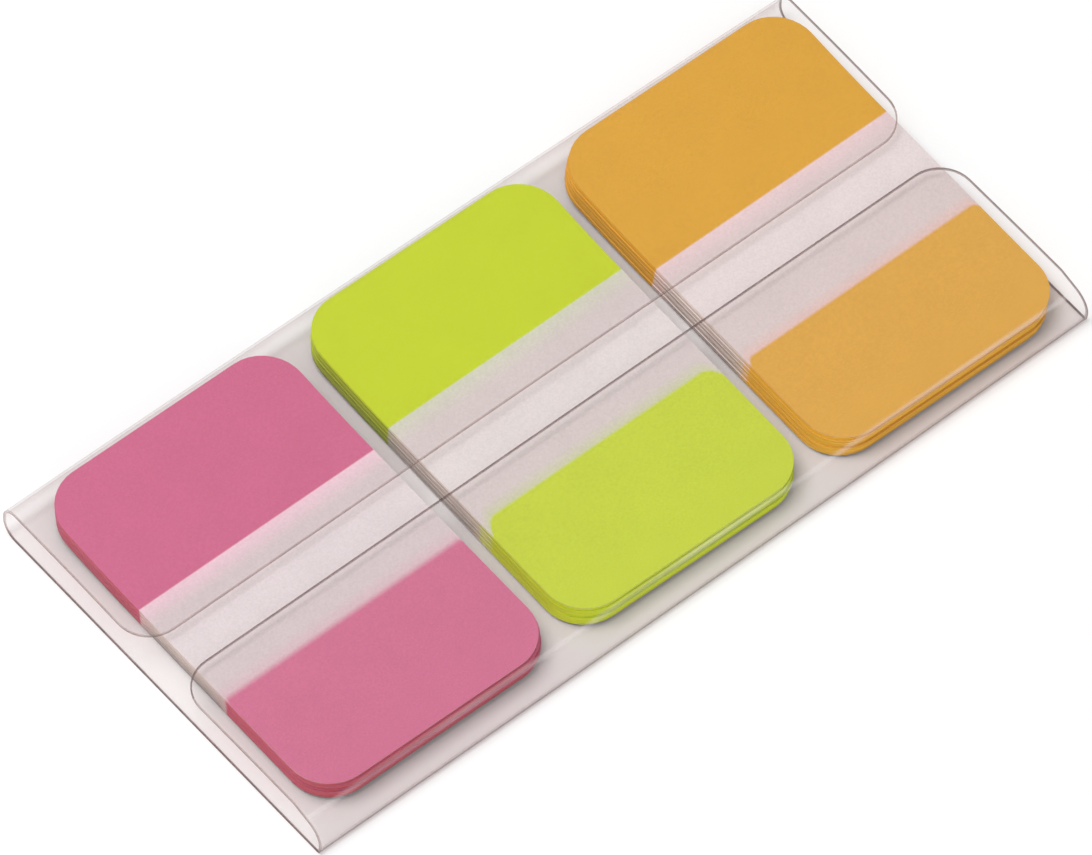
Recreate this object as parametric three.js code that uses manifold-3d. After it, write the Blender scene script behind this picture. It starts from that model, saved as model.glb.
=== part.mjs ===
// Three pads of film index tabs in a clear sleeve folded from one die-cut sheet.
// Millimetres, +Z up. +X runs along the sleeve and +Y from its creased edge to its looped edge. The origin is
// the middle of the footprint, on the surface that the sleeve lies on.
import * as THREE from 'three';
import { mergeVertices } from 'three/addons/utils/BufferGeometryUtils.js';
import Module from 'manifold-3d';

// The sleeve
const SLEEVE_LENGTH = 84;
const SLEEVE_DEPTH = 41.8;
const SHEET = 0.2;
const FLAP_RISE = 3.4; // from the middle of the base sheet to the middle of a flap
const FRONT_FLAP_REACH = 19.2; // from the creased edge to the flap's free edge
const BACK_FLAP_REACH = 18.5; // from the looped edge to the flap's free edge
const FLAP_CORNER = 3.3;
const LOOP_RADIUS = 1.4; // of the two bends of the looped edge, with a short wall between them

// The creased edge: a sharp crease, a bulging wall, a slope and a soft bend into the flap
const CREASE_RADIUS = 0.3;
const WALL_ANGLE = THREE.MathUtils.degToRad(82);
const SHOULDER_RADIUS = 1.9;
const SLOPE_ANGLE = THREE.MathUtils.degToRad(15);
const SLOPE_LENGTH = 1.9;
const SOFT_BEND_RADIUS = 1.5;

// One tab, and the pads
const TAB_WIDTH = 25.4;
const TAB_LENGTH = 38.1;
const TAB_FILM = 0.11;
const TAB_CORNER = 4;
const PAD_GAP = 2.3; // between the top tabs of two pads
const FIRST_PAD_INSET = 2.6; // from the sleeve's left end to the first top tab
const BACK_LIFT = 0.5; // how far a pad's back end rises off the base
const FRONT_LIFT = 0.15;
const CURL_LENGTH = 13; // how much of a pad rises at each end

// Under its top tab a pad has a few bundles that lie square, each slipped a little against the next. From the
// bottom up: how many tabs, and how far they slipped towards the back.
const BUNDLES = [
  { tabs: 5, slip: 0.04 },
  { tabs: 4, slip: -0.1 },
  { tabs: 5, slip: 0.08 },
  { tabs: 4, slip: -0.04 },
  { tabs: 3, slip: 0.05 },
];

// Each pad's colour, how far its back end stays inside the sleeve's looped edge, how far its top tab leans to the
// right of its lowest tab, and how much of its length is coloured at its back end, by the tab on top, and at its
// front end, by the tab beneath that one
const PADS = [
  { name: 'pink', colour: 0xcd6e90, back: 0.95, lean: 0.15, topColour: 13.8, nextColour: 12.9 },
  { name: 'lime', colour: 0xc6d440, back: 1.1, lean: -0.25, topColour: 12.7, nextColour: 13.1 },
  { name: 'orange', colour: 0xd9a346, back: 1.6, lean: 0.4, topColour: 14.1, nextColour: 12.2 },
];
const CLEAR_FILM = 0xe0d6d6;
const SLEEVE_TINT = 0xd8cfd0;
const COLOUR_EDGE = 0.2; // over which a tab's colour fades out

// Facets
const CORNER_STEPS = 6;
const CURL_STEPS = 6;
const LOOP_STEPS = 8;
const SHOULDER_STEPS = 8;
const CREASE_STEPS = 4;

const wasm = await Module();
wasm.setup();

// A closed geometry as a solid that can be cut
function solidOf(geometry) {
  const bare = geometry.clone();
  bare.deleteAttribute('normal');
  bare.deleteAttribute('uv');
  const merged = mergeVertices(bare);
  const vertProperties = new Float32Array(merged.attributes.position.array);
  const triVerts = new Uint32Array(merged.index.array);
  return new wasm.Manifold(new wasm.Mesh({ numProp: 3, vertProperties, triVerts }));
}

// A cut solid as a geometry again
function geometryOf(solid) {
  const mesh = solid.getMesh();
  const geometry = new THREE.BufferGeometry();
  geometry.setAttribute('position', new THREE.BufferAttribute(new Float32Array(mesh.vertProperties), 3));
  geometry.setIndex(new THREE.BufferAttribute(new Uint32Array(mesh.triVerts), 1));
  return geometry;
}

// The middle line of a bent sheet in the YZ plane. Each point holds its place and the sheet's heading there, and
// a heading of 0 runs along +Y.
class SheetLine {
  constructor(y, z, heading) {
    this.heading = heading;
    this.points = [{ y, z, heading }];
  }

  get end() {
    return this.points[this.points.length - 1];
  }

  run(length) {
    const { y, z } = this.end;
    const heading = this.heading;
    this.points.push({ y: y + length * Math.cos(heading), z: z + length * Math.sin(heading), heading });
    return this;
  }

  // A bend by an angle, to the left where it is positive
  bend(radius, angle, steps) {
    const side = Math.sign(angle);
    const { y, z } = this.end;
    const centreY = y - side * radius * Math.sin(this.heading);
    const centreZ = z + side * radius * Math.cos(this.heading);
    for (let step = 1; step <= steps; step += 1) {
      const heading = this.heading + (angle * step) / steps;
      this.points.push({
        y: centreY + side * radius * Math.sin(heading),
        z: centreZ - side * radius * Math.cos(heading),
        heading,
      });
    }
    this.heading += angle;
    return this;
  }

  // The line on one side of the sheet
  side(offset) {
    return this.points.map(({ y, z, heading }) => {
      return new THREE.Vector2(y - offset * Math.sin(heading), z + offset * Math.cos(heading));
    });
  }
}

// From the base, round the creased edge and along the front flap. The wall between the crease and the shoulder is
// as long as the flap's height asks for.
function frontLine(baseZ) {
  const shoulderTurn = Math.PI - WALL_ANGLE - SLOPE_ANGLE;
  const creaseRise = CREASE_RADIUS * (1 - Math.cos(WALL_ANGLE));
  const shoulderRise = SHOULDER_RADIUS * (Math.cos(WALL_ANGLE) + Math.cos(SLOPE_ANGLE));
  const slopeRise = SLOPE_LENGTH * Math.sin(SLOPE_ANGLE);
  const bendRise = SOFT_BEND_RADIUS * (1 - Math.cos(SLOPE_ANGLE));
  const wallLength = (FLAP_RISE - creaseRise - shoulderRise - slopeRise - bendRise) / Math.sin(WALL_ANGLE);

  // The wall leans out, and the sheet is furthest forward where the shoulder stands upright
  const creaseReach = CREASE_RADIUS * Math.sin(WALL_ANGLE);
  const wallReach = wallLength * Math.cos(WALL_ANGLE);
  const shoulderReach = SHOULDER_RADIUS * (1 - Math.sin(WALL_ANGLE));
  const startY = -SLEEVE_DEPTH / 2 + SHEET / 2 + shoulderReach + wallReach + creaseReach;

  const line = new SheetLine(startY, baseZ, Math.PI);
  line.bend(CREASE_RADIUS, -WALL_ANGLE, CREASE_STEPS);
  line.run(wallLength);
  line.bend(SHOULDER_RADIUS, -shoulderTurn, SHOULDER_STEPS);
  line.run(SLOPE_LENGTH);
  line.bend(SOFT_BEND_RADIUS, -SLOPE_ANGLE, CREASE_STEPS);
  return line.run(-SLEEVE_DEPTH / 2 + FRONT_FLAP_REACH - line.end.y);
}

// From the same place on the base, round the looped edge and along the back flap
function backLine(start) {
  const loopStart = SLEEVE_DEPTH / 2 - SHEET / 2 - LOOP_RADIUS;
  const line = new SheetLine(start.y, start.z, 0);
  line.run(loopStart - start.y);
  line.bend(LOOP_RADIUS, Math.PI / 2, LOOP_STEPS);
  line.run(FLAP_RISE - 2 * LOOP_RADIUS);
  line.bend(LOOP_RADIUS, Math.PI / 2, LOOP_STEPS);
  return line.run(line.end.y - (SLEEVE_DEPTH / 2 - BACK_FLAP_REACH));
}

// The outline of the folded sheet: its outer side from the back flap to the front flap, and its inner side back
function sleeveSection() {
  const front = frontLine(SHEET / 2);
  const back = backLine(front.points[0]);
  const outer = [...back.side(-SHEET / 2).reverse(), ...front.side(SHEET / 2).slice(1)];
  const inner = [...front.side(-SHEET / 2).reverse(), ...back.side(SHEET / 2).slice(1)];
  return new THREE.Shape([...outer, ...inner]);
}

// What is cut off at one free corner of a flap: the part of its square that a round corner leaves. The corner is
// at the origin and the flap lies in the quarter that outX and outY point away from.
function cornerCutter(x, y, outX, outY) {
  const margin = SHEET;
  const shape = new THREE.Shape();
  shape.moveTo(margin, margin);
  shape.lineTo(-FLAP_CORNER, margin);
  shape.lineTo(-FLAP_CORNER, 0);
  for (let step = 1; step <= CORNER_STEPS; step += 1) {
    const angle = (Math.PI / 2) * (1 - step / CORNER_STEPS);
    shape.lineTo(-FLAP_CORNER + FLAP_CORNER * Math.cos(angle), -FLAP_CORNER + FLAP_CORNER * Math.sin(angle));
  }
  shape.lineTo(margin, -FLAP_CORNER);
  const depth = SHEET * 4;
  const cutter = new THREE.ExtrudeGeometry(shape, { depth, bevelEnabled: false });
  const solid = solidOf(cutter);
  const quarterTurns = outX > 0 ? (outY > 0 ? 0 : 3) : (outY > 0 ? 1 : 2);
  return solid.rotate([0, 0, 90 * quarterTurns]).translate([x, y, SHEET / 2 + FLAP_RISE - depth / 2]);
}

function sleeveGeometry() {
  const sheet = new THREE.ExtrudeGeometry(sleeveSection(), { depth: SLEEVE_LENGTH, bevelEnabled: false });
  const alongX = new THREE.Matrix4().makeBasis(
    new THREE.Vector3(0, 1, 0),
    new THREE.Vector3(0, 0, 1),
    new THREE.Vector3(1, 0, 0),
  );
  sheet.applyMatrix4(alongX);
  sheet.translate(-SLEEVE_LENGTH / 2, 0, 0);
  let solid = solidOf(sheet);
  for (const outX of [-1, 1]) {
    const x = (outX * SLEEVE_LENGTH) / 2;
    solid = solid.subtract(cornerCutter(x, -SLEEVE_DEPTH / 2 + FRONT_FLAP_REACH, outX, 1));
    solid = solid.subtract(cornerCutter(x, SLEEVE_DEPTH / 2 - BACK_FLAP_REACH, outX, -1));
  }
  return geometryOf(solid);
}

// How far a tab is off the flat at a distance from the pad's front end
function lift(along) {
  const frontBend = Math.max(0, 1 - along / CURL_LENGTH);
  const backBend = Math.max(0, 1 - (TAB_LENGTH - along) / CURL_LENGTH);
  return FRONT_LIFT * frontBend ** 2 + BACK_LIFT * backBend ** 2;
}

// The curl in straight facets, the same for every tab of a pad, so that slipped tabs still lie face to face
const CURL_CUTS = [];
for (let step = -1; step <= CURL_STEPS; step += 1) {
  const along = (CURL_LENGTH * step) / CURL_STEPS;
  CURL_CUTS.push(along, TAB_LENGTH - along);
}
CURL_CUTS.sort((a, b) => a - b);

function facetedLift(along) {
  const next = CURL_CUTS.findIndex((cut) => cut > along);
  const [from, to] = [CURL_CUTS[next - 1], CURL_CUTS[next]];
  return THREE.MathUtils.lerp(lift(from), lift(to), (along - from) / (to - from));
}

// Where a tab's outline is cut across its length: closely round its corners, at the curl's facets and at the cuts
// asked for. Each cut gives the distance from the tab's front end and half the tab's width there.
function outlineCuts(slip, extraCuts) {
  const half = TAB_WIDTH / 2;
  const halfAt = (along) => {
    const inCorner = Math.max(0, TAB_CORNER - Math.min(along, TAB_LENGTH - along));
    return half - TAB_CORNER + Math.sqrt(TAB_CORNER ** 2 - inCorner ** 2);
  };
  const cuts = [];
  for (let step = 0; step <= CORNER_STEPS; step += 1) {
    const along = TAB_CORNER * (1 - Math.cos((Math.PI * step) / 2 / CORNER_STEPS));
    cuts.push(along, TAB_LENGTH - along);
  }
  const inner = [...CURL_CUTS.map((cut) => cut - slip), ...extraCuts];
  cuts.push(...inner.filter((cut) => cut > 0 && cut < TAB_LENGTH));
  cuts.sort((a, b) => a - b);
  return cuts.map((along) => ({ along, half: halfAt(along) }));
}

// Tabs that lie square on each other, between two heights over the pad's underside and slipped as asked: a loft
// of rectangles from the front end to the back
function bundleGeometry({ bottom, top, slipX, slipY, extraCuts }) {
  const cuts = outlineCuts(slipY, extraCuts);
  const positions = [];
  for (const { along, half } of cuts) {
    const y = along + slipY;
    for (const [side, height] of [[-1, bottom], [1, bottom], [1, top], [-1, top]]) {
      positions.push(slipX + side * half, y, height + facetedLift(y));
    }
  }
  const faces = [0, 1, 2, 0, 2, 3];
  for (let cut = 0; cut < cuts.length - 1; cut += 1) {
    const a = cut * 4;
    const b = a + 4;
    for (let edge = 0; edge < 4; edge += 1) {
      const next = (edge + 1) % 4;
      faces.push(a + edge, b + edge, a + next, a + next, b + edge, b + next);
    }
  }
  const last = (cuts.length - 1) * 4;
  faces.push(last, last + 2, last + 1, last, last + 3, last + 2);
  const geometry = new THREE.BufferGeometry();
  geometry.setAttribute('position', new THREE.Float32BufferAttribute(positions, 3));
  geometry.setIndex(faces);
  return geometry;
}

// The bundles of a pad, joined into one stack. Each reaches a hair into the one beneath.
function stackGeometry(pad) {
  const count = BUNDLES.length;
  let solid = null;
  let bottom = 0;
  BUNDLES.forEach(({ tabs, slip }, index) => {
    const top = bottom + tabs * TAB_FILM;
    const bundle = solidOf(bundleGeometry({
      bottom: solid ? bottom - TAB_FILM / 10 : bottom,
      top,
      slipX: -pad.lean * (1 - index / count),
      slipY: slip,
      extraCuts: [],
    }));
    solid = solid ? solid.add(bundle) : bundle;
    bottom = top;
  });
  return geometryOf(solid);
}

// Colours the coloured ends and the clear film between them
function paint(geometry, pad, frontColour) {
  const ink = new THREE.Color(pad.colour);
  const film = new THREE.Color(CLEAR_FILM);
  const place = geometry.attributes.position;
  const colours = [];
  for (let vertex = 0; vertex < place.count; vertex += 1) {
    const along = place.getY(vertex);
    const clear = along > frontColour && along < TAB_LENGTH - pad.topColour;
    colours.push(...(clear ? film : ink).toArray());
  }
  geometry.setAttribute('color', new THREE.Float32BufferAttribute(colours, 3));
  return geometry;
}

function addSleeve(group) {
  const clear = new THREE.MeshStandardMaterial({
    color: SLEEVE_TINT,
    roughness: 0.12,
    metalness: 0,
    transparent: true,
    opacity: 0.35,
  });
  const sleeve = new THREE.Mesh(sleeveGeometry(), clear);
  sleeve.name = 'sleeve';
  group.add(sleeve);
}

// A pad is the stack that stays behind and, on it, the tab that is pulled next. Tabs lie in turn with their
// coloured end at the back and at the front, so the top tab's clear end shows the colour of the one beneath.
function addPad(group, pad, index) {
  const stackTabs = BUNDLES.reduce((sum, { tabs }) => sum + tabs, 0);
  const stackTop = stackTabs * TAB_FILM;
  const colourStart = TAB_LENGTH - pad.topColour;
  const topTabGeometry = bundleGeometry({
    bottom: stackTop,
    top: stackTop + TAB_FILM,
    slipX: 0,
    slipY: 0,
    extraCuts: [colourStart - COLOUR_EDGE, colourStart],
  });
  const film = { vertexColors: true, roughness: 0.45, metalness: 0 };
  const stack = new THREE.Mesh(
    paint(stackGeometry(pad), pad, pad.nextColour),
    new THREE.MeshStandardMaterial(film),
  );
  stack.name = `${pad.name}_tab_stack`;
  const topTab = new THREE.Mesh(paint(topTabGeometry, pad, 0), new THREE.MeshStandardMaterial(film));
  topTab.name = `${pad.name}_top_tab`;
  const place = new THREE.Group();
  place.add(stack, topTab);
  place.position.set(
    -SLEEVE_LENGTH / 2 + FIRST_PAD_INSET + TAB_WIDTH / 2 + index * (TAB_WIDTH + PAD_GAP),
    SLEEVE_DEPTH / 2 - pad.back - TAB_LENGTH,
    SHEET,
  );
  group.add(place);
}

const group = new THREE.Group();
addSleeve(group);
PADS.forEach((pad, index) => addPad(group, pad, index));

export default group;
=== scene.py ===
import math
import random

import bmesh
import bpy
from mathutils import Matrix, Vector


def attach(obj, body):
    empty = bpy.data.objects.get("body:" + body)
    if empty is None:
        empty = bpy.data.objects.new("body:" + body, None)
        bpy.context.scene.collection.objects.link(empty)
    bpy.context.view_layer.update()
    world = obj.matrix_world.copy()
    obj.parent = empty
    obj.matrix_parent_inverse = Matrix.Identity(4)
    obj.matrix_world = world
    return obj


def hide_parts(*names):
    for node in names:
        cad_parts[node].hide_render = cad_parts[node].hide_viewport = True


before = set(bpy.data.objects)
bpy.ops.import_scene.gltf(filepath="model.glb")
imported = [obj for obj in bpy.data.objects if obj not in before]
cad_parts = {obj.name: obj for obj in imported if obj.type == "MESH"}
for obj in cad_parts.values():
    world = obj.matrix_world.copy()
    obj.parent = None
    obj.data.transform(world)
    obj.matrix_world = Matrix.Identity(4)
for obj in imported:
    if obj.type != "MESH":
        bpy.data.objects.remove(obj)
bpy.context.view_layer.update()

MM = 0.001

# Sizes in millimetres, in the CAD's frame
SLEEVE_LENGTH = 84.0
SLEEVE_DEPTH = 41.8
SHEET = 0.2
FLAP_RISE = 3.4
FRONT_FLAP_REACH = 19.2
BACK_FLAP_REACH = 18.5
FLAP_CORNER = 3.3
LOOP_RADIUS = 1.4
CREASE_RADIUS = 0.3
WALL_ANGLE = math.radians(82)
SHOULDER_RADIUS = 1.9
SLOPE_ANGLE = math.radians(15)
SLOPE_LENGTH = 1.9
SOFT_BEND_RADIUS = 1.5

# What the sheet does beyond its section. Its folds run askew, and come in towards the right end
BACK_SKEW, BACK_SKEW_POWER = 1.0, 1.7
FRONT_SKEW, FRONT_SKEW_POWER = 0.4, 2
SKEW_START, SKEW_BLEND = 10.0, 9.0  # from the sleeve's middle line
# The pads' curled ends push the folds up, by a share of their height
BACK_PUSH, FRONT_PUSH = 0.085, 0.05
PUSH_START, PUSH_BLEND = 2.0, 12.0
# The flaps bow up towards their free edges, and ripple
FLAP_BOW, BOW_REACH = 0.10, 12.0
RIPPLE, RIPPLE_LENGTH = 0.025, 9.0
BACK_RIPPLE_START, FRONT_RIPPLE_START = 1.3, 0.2

# Where the sheet shows a line: how far in from a cut edge, and round its sharp crease
EDGE_LINE = 0.13
CREASE_LINE_WIDTH = 0.4
CREASE_LINE_HEIGHT = 0.5

# The sleeve's materials after the clear sheet, which is number 0
DARK_EDGE, PALE_EDGE, CREASE_LINE = 1, 2, 3

# How finely the pieces are cut where they bend, and which edges stay hard
BEND_STEP = math.radians(9)
FLAT_STEP = 2.0
CUTS_ALONG_SLEEVE = 28
CUTS_ALONG_CURL = 8
HARD_ANGLE = math.radians(35)

TAB_WIDTH = 25.4
TAB_LENGTH = 38.1
TAB_PITCH = 0.11  # from one tab to the next in a pad
TAB_FILM = 0.1
TAB_CORNER = 4.0
PAD_GAP = 2.3
FIRST_PAD_INSET = 2.6
BACK_LIFT = 0.8  # how far the ends of a pad curl up
FRONT_LIFT = 0.1
CURL_LENGTH = 13.0

# From a pad's bottom up: how many tabs lie square, and how far they slipped towards the back
BUNDLES = [(5, 0.04), (4, -0.1), (5, 0.08), (4, -0.04), (3, 0.05)]
TABS_IN_PAD = sum(tabs for tabs, slip in BUNDLES) + 1  # with the one that is pulled next
LOOSE_SLIP = 0.03  # and how far one tab may slip and turn by itself
LOOSE_TURN = 0.0012
FIRST_SEED = 40

# Each pad's colours in linear light: its ink, its clear film, the tint beside each coloured end, and its cut edges
# at the front and at the back. Lime's and orange's front edges and orange's back edge are painted lighter than their
# ink, painted light for the light that shines out through the films' edges; lime's back edge is partly its darker
# colour on edge and partly painted shade from the pink pad beside it. Then its place: how far its back end stays
# inside the looped edge, how far its top leans to the right, its turn in degrees, how much of its back end and front
# end is coloured, how far the front colour fades, seen through the top tab, how deep the painted shade is at the
# foot of its back end, and how round the corners of its front colour are.
PADS = [
    dict(name="pink", ink=(0.645, 0.150, 0.285), clear=(0.700, 0.615, 0.625), back_tint=(0.90, 0.64, 0.73),
         front_tint=(0.72, 0.54, 0.585), front_edge=(0.60, 0.085, 0.12), back_edge=(0.62, 0.09, 0.13),
         back=0.95, lean=-0.2, turn=-0.4, back_colour=13.8, front_colour=12.9, fade=0.3, painted_foot_shade=0.75, ink_corner=0.3),
    dict(name="lime", ink=(0.58, 0.71, 0.015), clear=(0.705, 0.635, 0.625), back_tint=(0.68, 0.71, 0.56),
         front_tint=(0.64, 0.66, 0.44), front_edge=(0.76, 0.90, 0.01), back_edge=(0.40, 0.46, 0.015),
         back=1.1, lean=0.1, turn=-0.8, back_colour=12.7, front_colour=13.1, fade=0.12, painted_foot_shade=0.2, ink_corner=1.6),
    dict(name="orange", ink=(0.76, 0.405, 0.035), clear=(0.735, 0.645, 0.635), back_tint=(0.88, 0.68, 0.70),
         front_tint=(0.80, 0.58, 0.54), front_edge=(0.98, 0.54, 0.02), back_edge=(0.98, 0.50, 0.015),
         back=1.6, lean=0.4, turn=-0.6, back_colour=14.1, front_colour=12.2, fade=0.12, painted_foot_shade=0.7, ink_corner=0.7),
]
STACK_FADE = 0.1  # how far the front colour fades on the stack itself
INK_CORNER_POWER = 2.4

# Patterns in a metre
PRINT_CLOUD = 260
PRINT_FROST = 5200
EDGE_STREAKS = (120, 120, 4500)
SHEET_WAVE = 90
SHEET_HAZE = 3800
EDGE_NICKS = 700

PHOTO_WIDTH = 1092  # in pixels
SENSOR_WIDTH = 36

# The floor, in metres: it lies just under the sleeve, so that their faces don't coincide
FLOOR_RADIUS = 6.0
FLOOR_DROP = 0.00002


def finished_piece(name, bm, materials):
    """A mesh piece from a bmesh in millimetres, smooth apart from its hard edges."""
    bmesh.ops.recalc_face_normals(bm, faces=bm.faces[:])
    for face in bm.faces:
        face.smooth = True
    for edge in bm.edges:
        edge.smooth = edge.calc_face_angle(math.pi) < HARD_ANGLE
    bmesh.ops.scale(bm, vec=(MM, MM, MM), verts=bm.verts)
    mesh = bpy.data.meshes.new(name)
    bm.to_mesh(mesh)
    bm.free()
    for material in materials:
        mesh.materials.append(material)
    piece = bpy.data.objects.new(name, mesh)
    bpy.context.scene.collection.objects.link(piece)
    return piece


def rounded_blank(width, depth, corner, corner_steps):
    """A flat blank with round corners, its middle at the origin."""
    bm = bmesh.new()
    bmesh.ops.create_grid(bm, x_segments=1, y_segments=1, size=0.5)
    bmesh.ops.scale(bm, vec=(width, depth, 1), verts=bm.verts)
    bmesh.ops.bevel(bm, geom=bm.verts[:], offset=corner, offset_type="OFFSET", segments=corner_steps,
                    profile=0.5, affect="VERTICES", material=-1)
    return bm


def cut_across(bm, axis, places):
    """Cuts the blank across an axis at each place, where it will bend."""
    direction = Vector((1, 0, 0)) if axis == "x" else Vector((0, 1, 0))
    for place in places:
        bmesh.ops.bisect_plane(bm, geom=bm.verts[:] + bm.edges[:] + bm.faces[:], dist=1e-5,
                               plane_co=direction * place, plane_no=direction)


def face_upwards(bm, face):
    """Turns all faces over if the given one looks down."""
    if face.normal.z < 0:
        bmesh.ops.reverse_faces(bm, faces=bm.faces[:])


# The sleeve: one sheet, folded

def sleeve_folds():
    """The sheet from the back flap's free edge to the front flap's: the length of each part and how far it turns."""
    shoulder_turn = math.pi - WALL_ANGLE - SLOPE_ANGLE
    crease_rise = CREASE_RADIUS * (1 - math.cos(WALL_ANGLE))
    shoulder_rise = SHOULDER_RADIUS * (math.cos(WALL_ANGLE) + math.cos(SLOPE_ANGLE))
    slope_rise = SLOPE_LENGTH * math.sin(SLOPE_ANGLE)
    bend_rise = SOFT_BEND_RADIUS * (1 - math.cos(SLOPE_ANGLE))
    wall = (FLAP_RISE - crease_rise - shoulder_rise - slope_rise - bend_rise) / math.sin(WALL_ANGLE)
    crease_start = (SHEET / 2 + SHOULDER_RADIUS * (1 - math.sin(WALL_ANGLE)) + wall * math.cos(WALL_ANGLE)
                    + CREASE_RADIUS * math.sin(WALL_ANGLE))
    loop_start = SHEET / 2 + LOOP_RADIUS
    quarter = math.pi / 2
    folds = [
        (BACK_FLAP_REACH - loop_start, 0),
        (LOOP_RADIUS * quarter, quarter),
        (FLAP_RISE - 2 * LOOP_RADIUS, 0),
        (LOOP_RADIUS * quarter, quarter),
        (SLEEVE_DEPTH - loop_start - crease_start, 0),
        (CREASE_RADIUS * WALL_ANGLE, WALL_ANGLE),
        (wall, 0),
        (SHOULDER_RADIUS * shoulder_turn, shoulder_turn),
        (SLOPE_LENGTH, 0),
        (SOFT_BEND_RADIUS * SLOPE_ANGLE, SLOPE_ANGLE),
    ]
    bent_y = along_sheet(folds, sum(length for length, turn in folds))[0]
    folds.append((FRONT_FLAP_REACH - SLEEVE_DEPTH / 2 - bent_y, 0))
    return folds


def along_sheet(folds, distance):
    """The sheet's middle line after a distance: y, z and the clockwise turn since it left along +Y."""
    y = SLEEVE_DEPTH / 2 - BACK_FLAP_REACH
    z = SHEET / 2 + FLAP_RISE
    heading = 0.0
    for length, turn in folds:
        step = min(distance, length)
        if turn:
            radius = length / turn
            centre_y = y - radius * math.sin(heading)
            centre_z = z - radius * math.cos(heading)
            heading += step / radius
            y = centre_y + radius * math.sin(heading)
            z = centre_z + radius * math.cos(heading)
        else:
            y += step * math.cos(heading)
            z -= step * math.sin(heading)
        distance -= step
        if distance <= 0:
            break
    return y, z, heading


def bend_places(folds):
    """Where along the flat sheet it is cut so that it can bend."""
    places = []
    start = 0.0
    for length, turn in folds:
        steps = max(3, round(turn / BEND_STEP)) if turn else max(1, round(length / FLAT_STEP))
        places += [start + length * step / steps for step in range(steps)]
        start += length
    return places[1:]


def smooth_step(part):
    part = min(1.0, max(0.0, part))
    return part * part * (3 - 2 * part)


def fold_skew(x, y):
    """How far the folds are out of line: the sleeve is a little narrower towards its right end."""
    right = min(1.0, max(0.0, x / SLEEVE_LENGTH + 0.5))
    if y > 0:
        return -BACK_SKEW * right ** BACK_SKEW_POWER * smooth_step((y - SKEW_START) / SKEW_BLEND)
    return FRONT_SKEW * right ** FRONT_SKEW_POWER * smooth_step((-y - SKEW_START) / SKEW_BLEND)


def fold_push(y):
    """By what share of its height the sheet is pushed up."""
    if y > 0:
        return BACK_PUSH * smooth_step((y - PUSH_START) / PUSH_BLEND)
    return FRONT_PUSH * smooth_step((-y - PUSH_START) / PUSH_BLEND)


def flap_swell(x, distance, reach):
    """How far a flap stands up near its free edge."""
    bow = max(0.0, 1 - min(distance, reach - distance) / BOW_REACH)
    ripple_start = BACK_RIPPLE_START if distance < reach / 2 else FRONT_RIPPLE_START
    swell = FLAP_BOW * bow * bow * math.cos(x / (SLEEVE_LENGTH / 2) * math.pi / 2)
    return swell + RIPPLE * bow * math.sin(x / RIPPLE_LENGTH + ripple_start)


def sheet_finish(face):
    """Which of the sleeve's materials a face takes. Its cut edges are pale at the raised left end and along the back
    flap's free edge, and dark elsewhere."""
    middle = face.calc_center_median()
    at_end = abs(face.normal.x) > 0.2
    at_free_edge = abs(face.normal.y) > 0.85 and middle.z > FLAP_RISE - 0.1 and abs(middle.y) < 6
    if at_end or at_free_edge or face.material_index == DARK_EDGE:
        left_end = middle.x < -SLEEVE_LENGTH / 2 + 1.5 * EDGE_LINE
        right_end = middle.x > SLEEVE_LENGTH / 2 - 1.5 * EDGE_LINE
        pale = middle.z > 0.6 if left_end else middle.y > 0 and middle.z > 1 and not right_end
        return PALE_EDGE if pale else DARK_EDGE
    crease = -SLEEVE_DEPTH / 2 + fold_skew(middle.x, -SLEEVE_DEPTH / 2)
    in_crease = middle.y < crease + CREASE_LINE_WIDTH and middle.z < CREASE_LINE_HEIGHT
    return CREASE_LINE if in_crease else face.material_index


def make_sleeve(materials):
    """The die-cut sheet with its four round corners, cut where it bends, folded, and given its thickness."""
    folds = sleeve_folds()
    reach = sum(length for length, turn in folds)
    bm = rounded_blank(SLEEVE_LENGTH, reach, FLAP_CORNER, corner_steps=10)
    bmesh.ops.translate(bm, vec=(0, reach / 2, 0), verts=bm.verts)
    edge_line = bmesh.ops.inset_region(bm, faces=bm.faces[:], thickness=EDGE_LINE, use_boundary=True,
                                       use_even_offset=True)
    for face in edge_line["faces"]:
        face.material_index = DARK_EDGE
    cut_across(bm, "y", bend_places(folds))
    cut_across(bm, "x", [SLEEVE_LENGTH * (cut / CUTS_ALONG_SLEEVE - 0.5) for cut in range(1, CUTS_ALONG_SLEEVE)])

    out = SHEET / 2
    for vert in bm.verts:
        x, distance, _ = vert.co
        y, z, heading = along_sheet(folds, distance)
        z *= 1 + fold_push(y)
        skewed_y = y + fold_skew(x, y)
        swell = flap_swell(x, distance, reach)
        vert.co = (x, skewed_y + out * math.sin(heading), z + out * math.cos(heading) + swell)

    bmesh.ops.recalc_face_normals(bm, faces=bm.faces[:])
    face_upwards(bm, max(bm.faces, key=lambda face: face.calc_center_median().z))
    bmesh.ops.solidify(bm, geom=bm.faces[:], thickness=SHEET)
    bm.normal_update()
    for face in bm.faces:
        face.material_index = sheet_finish(face)
    sleeve = finished_piece("folded_sleeve", bm, materials)
    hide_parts("sleeve")
    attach(sleeve, "root")


# The pads

def pad_lift(along):
    """How far a tab is off the flat at a distance from the pad's front end."""
    front_bend = max(0.0, 1 - along / CURL_LENGTH)
    back_bend = max(0.0, 1 - (TAB_LENGTH - along) / CURL_LENGTH)
    return FRONT_LIFT * front_bend ** 2 + BACK_LIFT * back_bend ** 2


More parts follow.
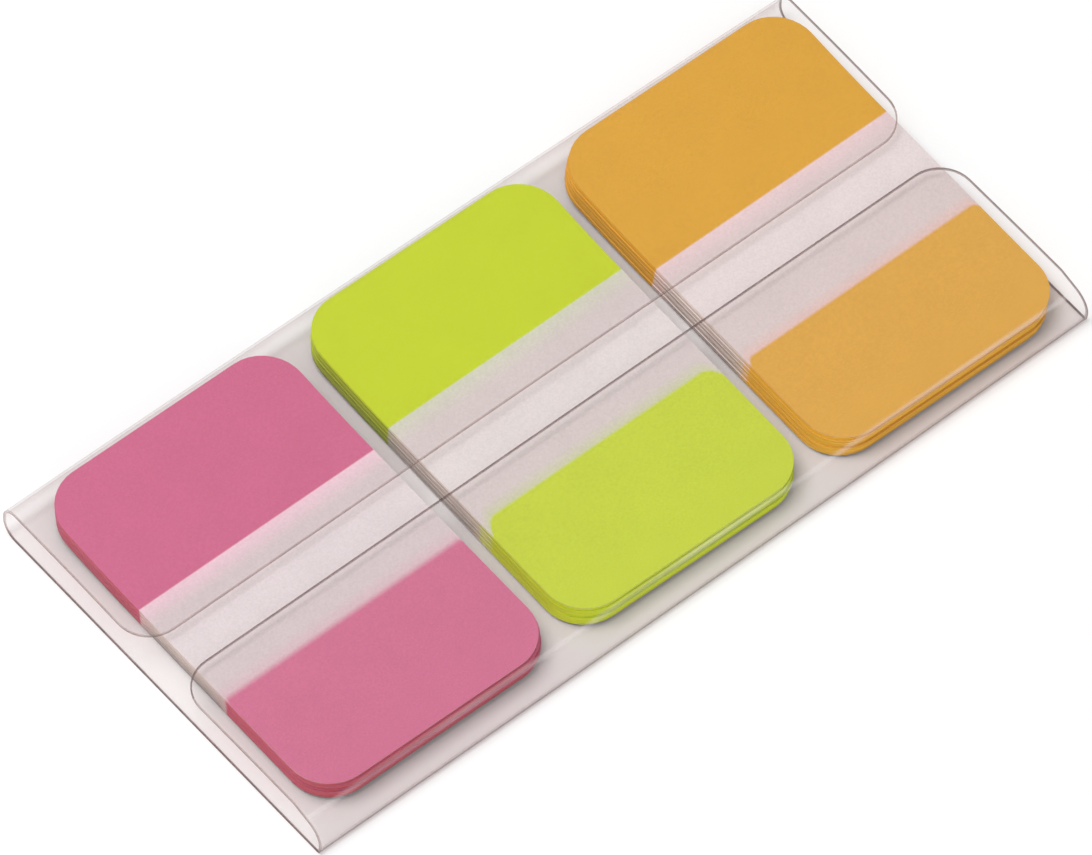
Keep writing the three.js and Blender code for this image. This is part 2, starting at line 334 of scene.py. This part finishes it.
def film_blank():
    """One tab, flat, with its front end at the origin."""
    bm = rounded_blank(TAB_WIDTH, TAB_LENGTH, TAB_CORNER, corner_steps=9)
    bmesh.ops.translate(bm, vec=(0, TAB_LENGTH / 2, 0), verts=bm.verts)
    curl = [CURL_LENGTH * cut / CUTS_ALONG_CURL for cut in range(1, CUTS_ALONG_CURL + 1)]
    cut_across(bm, "y", curl + [TAB_LENGTH - place for place in reversed(curl)])
    bmesh.ops.recalc_face_normals(bm, faces=bm.faces[:])
    face_upwards(bm, bm.faces[:][0])
    bmesh.ops.solidify(bm, geom=bm.faces[:], thickness=TAB_FILM)
    bm.normal_update()
    lowest = min(vert.co.z for vert in bm.verts)
    bmesh.ops.translate(bm, vec=(0, 0, -lowest), verts=bm.verts)
    for face in bm.faces:
        if abs(face.normal.z) < 0.5:
            face.material_index = 1
    return bm


def pad_place(index, pad):
    """The middle of a pad's front end, on the sheet."""
    x = -SLEEVE_LENGTH / 2 + FIRST_PAD_INSET + TAB_WIDTH / 2 + index * (TAB_WIDTH + PAD_GAP)
    y = SLEEVE_DEPTH / 2 - pad["back"] - TAB_LENGTH
    return Vector((x, y, SHEET))


def add_film(bm, blank, shift, swing):
    """Adds one tab to a pad's mesh, slipped and turned a little about its middle, and curled as the pad is."""
    film = blank.copy()
    middle = Vector((0, TAB_LENGTH / 2, 0))
    bmesh.ops.rotate(film, cent=middle, matrix=Matrix.Rotation(swing, 3, "Z"), verts=film.verts)
    bmesh.ops.translate(film, vec=shift, verts=film.verts)
    for vert in film.verts:
        vert.co.z += pad_lift(vert.co.y)
    loose = bpy.data.meshes.new("film")
    film.to_mesh(loose)
    film.free()
    bm.from_mesh(loose)
    bpy.data.meshes.remove(loose)


def make_pad(index, pad, body_materials, top_materials):
    """The stack that stays behind, film by film, and the tab that is pulled next."""
    chance = random.Random(FIRST_SEED + index)
    blank = film_blank()
    place = pad_place(index, pad)
    turn = math.radians(pad["turn"])
    stack = bmesh.new()
    level = 0
    for bundle, (tabs, slip) in enumerate(BUNDLES):
        lean = -pad["lean"] * (1 - bundle / len(BUNDLES))
        for _ in range(tabs):
            aside = lean + chance.uniform(-LOOSE_SLIP, LOOSE_SLIP)
            back = slip + chance.uniform(-LOOSE_SLIP, LOOSE_SLIP)
            swing = turn + chance.uniform(-LOOSE_TURN, LOOSE_TURN)
            add_film(stack, blank, Vector((aside, back, level * TAB_PITCH)), swing)
            level += 1
    top = bmesh.new()
    add_film(top, blank, Vector((0, 0, level * TAB_PITCH)), turn)
    blank.free()
    for part, bm, materials in (("tab_stack", stack, body_materials), ("top_tab", top, top_materials)):
        bmesh.ops.translate(bm, vec=place, verts=bm.verts)
        piece = finished_piece(pad["name"] + "_film_" + part, bm, materials)
        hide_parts(pad["name"] + "_" + part)
        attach(piece, "root")


# Finishes

def new_material(name):
    material = bpy.data.materials.new(name)
    material.use_nodes = True
    material.node_tree.nodes.clear()
    return material, material.node_tree


def add_node(tree, kind, inputs, operation=None):
    """A node, with a link or a plain value in each of the inputs that are named or numbered."""
    node = tree.nodes.new("ShaderNode" + kind)
    if operation:
        node.operation = operation
    for key, value in inputs.items():
        if isinstance(value, bpy.types.NodeSocket):
            tree.links.new(value, node.inputs[key])
        else:
            node.inputs[key].default_value = value
    return node


def maths(tree, operation, *values):
    return add_node(tree, "Math", dict(enumerate(values)), operation).outputs["Value"]


def spread(tree, value, source=(0.0, 1.0), target=(0.0, 1.0)):
    """Maps a value from one range to another, and holds it there."""
    node = add_node(tree, "MapRange", {"Value": value, "From Min": source[0], "From Max": source[1],
                                       "To Min": target[0], "To Max": target[1]})
    return node.outputs["Result"]


def noise(tree, where, scale, detail):
    return add_node(tree, "TexNoise", {"Vector": where, "Scale": scale, "Detail": detail}).outputs["Fac"]


def colour_ramp(tree, value, stops):
    """A ramp through stops, each a position and a colour."""
    node = add_node(tree, "ValToRGB", {"Fac": value})
    elements = node.color_ramp.elements
    while len(elements) < len(stops):
        elements.new(0.5)
    for element, (position, colour) in zip(elements, stops):
        element.position = position
    for element, (position, colour) in zip(elements, stops):
        element.color = (*colour, 1)
    return node.outputs["Color"]


def level_ramp(tree, value, stops):
    """A ramp through stops, each a position and a level of grey."""
    return colour_ramp(tree, value, [(position, (level, level, level)) for position, level in stops])


def scaled(tree, colour, factor):
    return add_node(tree, "VectorMath", {0: colour, "Scale": factor}, "SCALE").outputs["Vector"]


def bumped(tree, height, strength, distance):
    return add_node(tree, "Bump", {"Height": height, "Strength": strength, "Distance": distance}).outputs["Normal"]


def mixed(tree, share, first, second):
    return add_node(tree, "MixShader", {"Fac": share, 1: first, 2: second}).outputs["Shader"]


def object_coords(tree):
    return add_node(tree, "TexCoord", {}).outputs["Object"]


def split(tree, vector):
    return add_node(tree, "SeparateXYZ", {"Vector": vector}).outputs


def along_tab(tree, axes, place):
    """From 0 at a pad's front end to 1 at its back end."""
    return spread(tree, axes["Y"], (place.y * MM, (place.y + TAB_LENGTH) * MM))


def on_tab(stops):
    """Stops in millimetres from a tab's front end, as shares of its length."""
    return [(distance / TAB_LENGTH, colour) for distance, colour in stops]


def film_material(name, pad, place, top):
    """Printed film: ink at both ends, frosted clear between. A coloured end lies under the top tab's clear end, so
    the front boundary is soft, and ink tints the clear film beside it."""
    material, tree = new_material(name)
    coords = object_coords(tree)
    axes = split(tree, coords)
    along = along_tab(tree, axes, place)

    # The front colour's inner corners are round, and the back colour's are square
    aside = maths(tree, "ABSOLUTE", maths(tree, "SUBTRACT", axes["X"], place.x * MM))
    corner = spread(tree, aside, ((TAB_WIDTH / 2 - pad["ink_corner"]) * MM, TAB_WIDTH / 2 * MM))
    rounding = maths(tree, "POWER", corner, INK_CORNER_POWER)
    in_front = spread(tree, along, (0.45, 0.5), (pad["ink_corner"] / TAB_LENGTH, 0.0))
    boundary = maths(tree, "MULTIPLY_ADD", rounding, in_front, along)

    ink = Vector(pad["ink"])
    clear = Vector(pad["clear"])
    front = pad["front_colour"]
    back = TAB_LENGTH - pad["back_colour"]
    fade = pad["fade"] if top else STACK_FADE
    colour = colour_ramp(tree, boundary, on_tab([
        (front - fade, ink.lerp(clear, 0.05) if top else ink),
        (front + fade, pad["front_tint"]),
        (front + fade + 1.2, clear),
        (back - 2.0, clear),
        (back - 0.04, pad["back_tint"]),
        (back, ink),
    ]))

    # Cloudy print and a fine frost
    cloud = noise(tree, coords, PRINT_CLOUD, 3)
    frost = noise(tree, coords, PRINT_FROST, 2)
    shade = spread(tree, cloud, target=(0.95, 1.04))
    grain = spread(tree, frost, (0.3, 0.7), (0.94, 1.045))
    film = add_node(tree, "BsdfPrincipled", {
        "Base Color": scaled(tree, colour, maths(tree, "MULTIPLY", shade, grain)),
        "Roughness": spread(tree, cloud, target=(0.36, 0.5)),
        "Normal": bumped(tree, frost, 0.12, 0.00004),
        "Specular IOR Level": 0.25,
    })
    add_node(tree, "OutputMaterial", {"Surface": film.outputs["BSDF"]})
    return material


def film_edge_material(name, pad, place, top):
    """The cut edges of a pad's films: deeper ink at both ends, paler between, streaked from film to film, and with
    painted shade towards the foot of the pad. The top tab's edge is painted lighter, a painted highlight where it
    catches the light."""
    material, tree = new_material(name)
    coords = object_coords(tree)
    axes = split(tree, coords)
    along = along_tab(tree, axes, place)
    front_edge = Vector(pad["front_edge"])
    back_edge = Vector(pad["back_edge"])
    # Painted highlight: the top tab's edge colours are lifted towards its tint and its ink, where it catches the
    # light
    if top:
        front_edge = front_edge.lerp(Vector(pad["front_tint"]), 0.45)
        back_edge = back_edge.lerp(Vector(pad["ink"]), 0.6)
    # Clear film is a little yellower where it is seen on edge
    clear = Vector(pad["clear"])
    clear = Vector((clear.x * 1.12, clear.y * 1.02, clear.z * 0.88))
    front = pad["front_colour"]
    back = TAB_LENGTH - pad["back_colour"]
    colour = colour_ramp(tree, along, on_tab([
        (front - 0.1, front_edge),
        (front + 0.1, clear.lerp(front_edge, 0.25)),
        (front + 2.0, clear),
        (back - 2.0, clear),
        (back - 0.1, clear.lerp(back_edge, 0.25)),
        (back + 0.1, back_edge),
    ]))

    stretched = add_node(tree, "Mapping", {"Vector": coords, "Scale": EDGE_STREAKS}).outputs["Vector"]
    streak = spread(tree, noise(tree, stretched, 1, 2), (0.3, 0.7), (0.9, 1.08))

    # Painted shade: the clear middle and the back end are darker towards the foot of the pad, where less light gets
    # in
    shade_at_foot = level_ramp(tree, along, on_tab([
        (front - 0.5, 0.95),
        (front + 1.0, 0.38),
        (back - 2.0, 0.38),
        (back, pad["painted_foot_shade"]),
    ]))
    height = spread(tree, axes["Z"], (SHEET * MM, (SHEET + TABS_IN_PAD * TAB_PITCH) * MM), (shade_at_foot, 1.0))
    film = add_node(tree, "BsdfPrincipled", {
        "Base Color": scaled(tree, colour, maths(tree, "MULTIPLY", streak, height)),
        "Roughness": 0.5,
        "Specular IOR Level": 0.3,
    })
    add_node(tree, "OutputMaterial", {"Surface": film.outputs["BSDF"]})
    return material


def clear_sheet_material():
    """Clear sheet with a faint warm grey: glossier and denser where it is seen along its surface."""
    material, tree = new_material("clear_folded_sheet")
    coords = object_coords(tree)
    facing = add_node(tree, "LayerWeight", {"Blend": 0.5}).outputs["Facing"]
    tint = colour_ramp(tree, facing, [
        (0.3, (0.972, 0.962, 0.961)),
        (0.75, (0.94, 0.915, 0.915)),
        (1.0, (0.72, 0.67, 0.67)),
    ])
    through = add_node(tree, "BsdfTransparent", {"Color": tint})
    wave = noise(tree, coords, SHEET_WAVE, 2)
    haze = noise(tree, coords, SHEET_HAZE, 2)
    gloss = add_node(tree, "BsdfPrincipled", {
        "Base Color": (0.96, 0.95, 0.95, 1),
        "Metallic": 1.0,
        "Roughness": spread(tree, haze, target=(0.1, 0.3)),
        "Normal": bumped(tree, wave, 0.25, 0.0004),
    })
    share = maths(tree, "MULTIPLY_ADD", maths(tree, "POWER", facing, 4.0), 0.55, 0.013)
    sheet = mixed(tree, share, through.outputs["BSDF"], gloss.outputs["BSDF"])

    # Painted highlight: a whitish band along the shoulder of the front fold, for the light the bend reflects there
    axes = split(tree, coords)
    depth = spread(tree, axes["Y"], (-SLEEVE_DEPTH / 2 * MM, (-SLEEVE_DEPTH / 2 + 5) * MM))
    highlight_band = level_ramp(tree, depth, [(0.32, 0), (0.36, 0.22), (0.39, 0.22), (0.44, 0)])
    height = spread(tree, axes["Z"], (1.2 * MM, 1.6 * MM))
    painted_highlight = maths(tree, "MULTIPLY", maths(tree, "MULTIPLY", highlight_band, height), wave)
    white = add_node(tree, "BsdfDiffuse", {"Color": (0.93, 0.88, 0.89, 1)})
    add_node(tree, "OutputMaterial", {"Surface": mixed(tree, painted_highlight, sheet, white.outputs["BSDF"])})
    return material


def cut_sheet_material(name, dark, pale, cover):
    """Where light leaves the sheet, at its cut edges and its sharp crease: a thin brown-grey line."""
    material, tree = new_material(name)
    nicks = noise(tree, object_coords(tree), EDGE_NICKS, 3)
    line = add_node(tree, "BsdfPrincipled", {
        "Base Color": colour_ramp(tree, nicks, [(0.35, dark), (0.7, pale)]),
        "Roughness": 0.35,
    })
    through = add_node(tree, "BsdfTransparent", {"Color": (0.84, 0.78, 0.77, 1)})
    add_node(tree, "OutputMaterial", {"Surface": mixed(tree, cover, through.outputs["BSDF"], line.outputs["BSDF"])})
    return material


# The stage

def floor_material():
    """White. Its own shading is full under the sleeve and lighter beyond it, so the background stays white."""
    material, tree = new_material("floor")
    matt = add_node(tree, "BsdfDiffuse", {"Color": (0.96, 0.96, 0.96, 1)})
    plain = add_node(tree, "Emission", {})
    path = add_node(tree, "LightPath", {})
    axes = split(tree, object_coords(tree))
    beyond = [maths(tree, "SUBTRACT", maths(tree, "ABSOLUTE", axes[axis]), size / 2 * MM)
              for axis, size in (("X", SLEEVE_LENGTH), ("Y", SLEEVE_DEPTH))]
    lighter = spread(tree, maths(tree, "MAXIMUM", *beyond), (0.0, 1.2 * MM), (0.0, 0.6))
    share = maths(tree, "MULTIPLY", path.outputs["Is Camera Ray"], lighter)
    shown = mixed(tree, share, matt.outputs["BSDF"], plain.outputs["Emission"])
    add_node(tree, "OutputMaterial", {"Surface": shown})
    return material


def make_floor():
    bm = bmesh.new()
    bmesh.ops.create_circle(bm, cap_ends=True, segments=96, radius=FLOOR_RADIUS)
    mesh = bpy.data.meshes.new("floor")
    bm.to_mesh(mesh)
    bm.free()
    floor = bpy.data.objects.new("floor", mesh)
    floor.location.z = -FLOOR_DROP
    bpy.context.scene.collection.objects.link(floor)
    mesh.materials.append(floor_material())


def light_world(strength):
    """Even light from all round. The camera sees it as plain white, also mirrored or through clear material."""
    world = bpy.data.worlds.new("studio")
    bpy.context.scene.world = world
    world.use_nodes = True
    tree = world.node_tree
    tree.nodes.clear()
    room = add_node(tree, "Background", {"Strength": strength})
    backdrop = add_node(tree, "Background", {})
    path = add_node(tree, "LightPath", {})
    seen = maths(tree, "MAXIMUM", path.outputs["Is Camera Ray"], path.outputs["Is Glossy Ray"])
    seen = maths(tree, "MAXIMUM", seen, path.outputs["Is Transmission Ray"])
    shown = mixed(tree, seen, room.outputs["Background"], backdrop.outputs["Background"])
    add_node(tree, "OutputWorld", {"Surface": shown})


def add_softbox(name, direction, distance, size, power):
    """A round lamp at a distance from the sleeve, turned towards it, in metres and watts."""
    lamp = bpy.data.lights.new(name, "AREA")
    lamp.shape = "DISK"
    lamp.size = size
    lamp.energy = power
    softbox = bpy.data.objects.new(name, lamp)
    place = Vector(direction).normalized() * distance
    softbox.location = place
    softbox.rotation_euler = place.to_track_quat("Z", "Y").to_euler()
    bpy.context.scene.collection.objects.link(softbox)


def make_camera(azimuth, elevation, roll, focal_px, distance, offset_x, offset_y, target):
    """A camera at a distance in millimetres. Its focal length and offsets are in the photograph's pixels."""
    a, e, turn = math.radians(azimuth), math.radians(elevation), math.radians(roll)
    back = Vector((math.sin(a) * math.cos(e), -math.cos(a) * math.cos(e), math.sin(e)))
    right = Vector((math.cos(a), math.sin(a), 0))
    up = back.cross(right)
    across = right * math.cos(turn) + up * math.sin(turn)
    upright = up * math.cos(turn) - right * math.sin(turn)
    aim = Vector(target) - across * (offset_x * distance / focal_px) + upright * (offset_y * distance / focal_px)
    place = (aim + back * distance) * MM
    data = bpy.data.cameras.new("camera")
    data.sensor_fit = "HORIZONTAL"
    data.sensor_width = SENSOR_WIDTH
    data.lens = focal_px / PHOTO_WIDTH * SENSOR_WIDTH
    data.clip_start = 0.05
    data.clip_end = 50
    camera = bpy.data.objects.new("camera", data)
    turned = Matrix((across, upright, back)).transposed()
    camera.matrix_world = Matrix.Translation(place) @ turned.to_4x4()
    bpy.context.scene.collection.objects.link(camera)
    bpy.context.scene.camera = camera


make_camera(azimuth=-40.715, elevation=56.365, roll=1.223, focal_px=25880.2, distance=2173.1,
            offset_x=8.3, offset_y=-28.5, target=(43.5 - SLEEVE_LENGTH / 2, 22.0 - SLEEVE_DEPTH / 2, 1.5))
make_sleeve([
    clear_sheet_material(),
    cut_sheet_material("cut_edge_dark", dark=(0.14, 0.10, 0.10), pale=(0.26, 0.18, 0.18), cover=0.5),
    cut_sheet_material("cut_edge_pale", dark=(0.30, 0.24, 0.23), pale=(0.48, 0.40, 0.38), cover=0.28),
    cut_sheet_material("sharp_crease", dark=(0.20, 0.17, 0.18), pale=(0.32, 0.28, 0.29), cover=0.42),
])
for index, pad in enumerate(PADS):
    place = pad_place(index, pad)
    edge = film_edge_material(pad["name"] + "_cut_edge", pad, place, top=False)
    top_edge = film_edge_material(pad["name"] + "_top_cut_edge", pad, place, top=True)
    body = film_material(pad["name"] + "_stack_film", pad, place, top=False)
    top = film_material(pad["name"] + "_top_film", pad, place, top=True)
    make_pad(index, pad, [body, edge], [top, top_edge])
make_floor()
light_world(0.66)
add_softbox("key", direction=(-0.25, 0.20, 0.95), distance=0.7, size=0.45, power=2.75)
add_softbox("fill", direction=(-0.5, -0.65, 0.6), distance=0.8, size=0.5, power=1.15)

scene = bpy.context.scene
scene.view_settings.view_transform = "Standard"
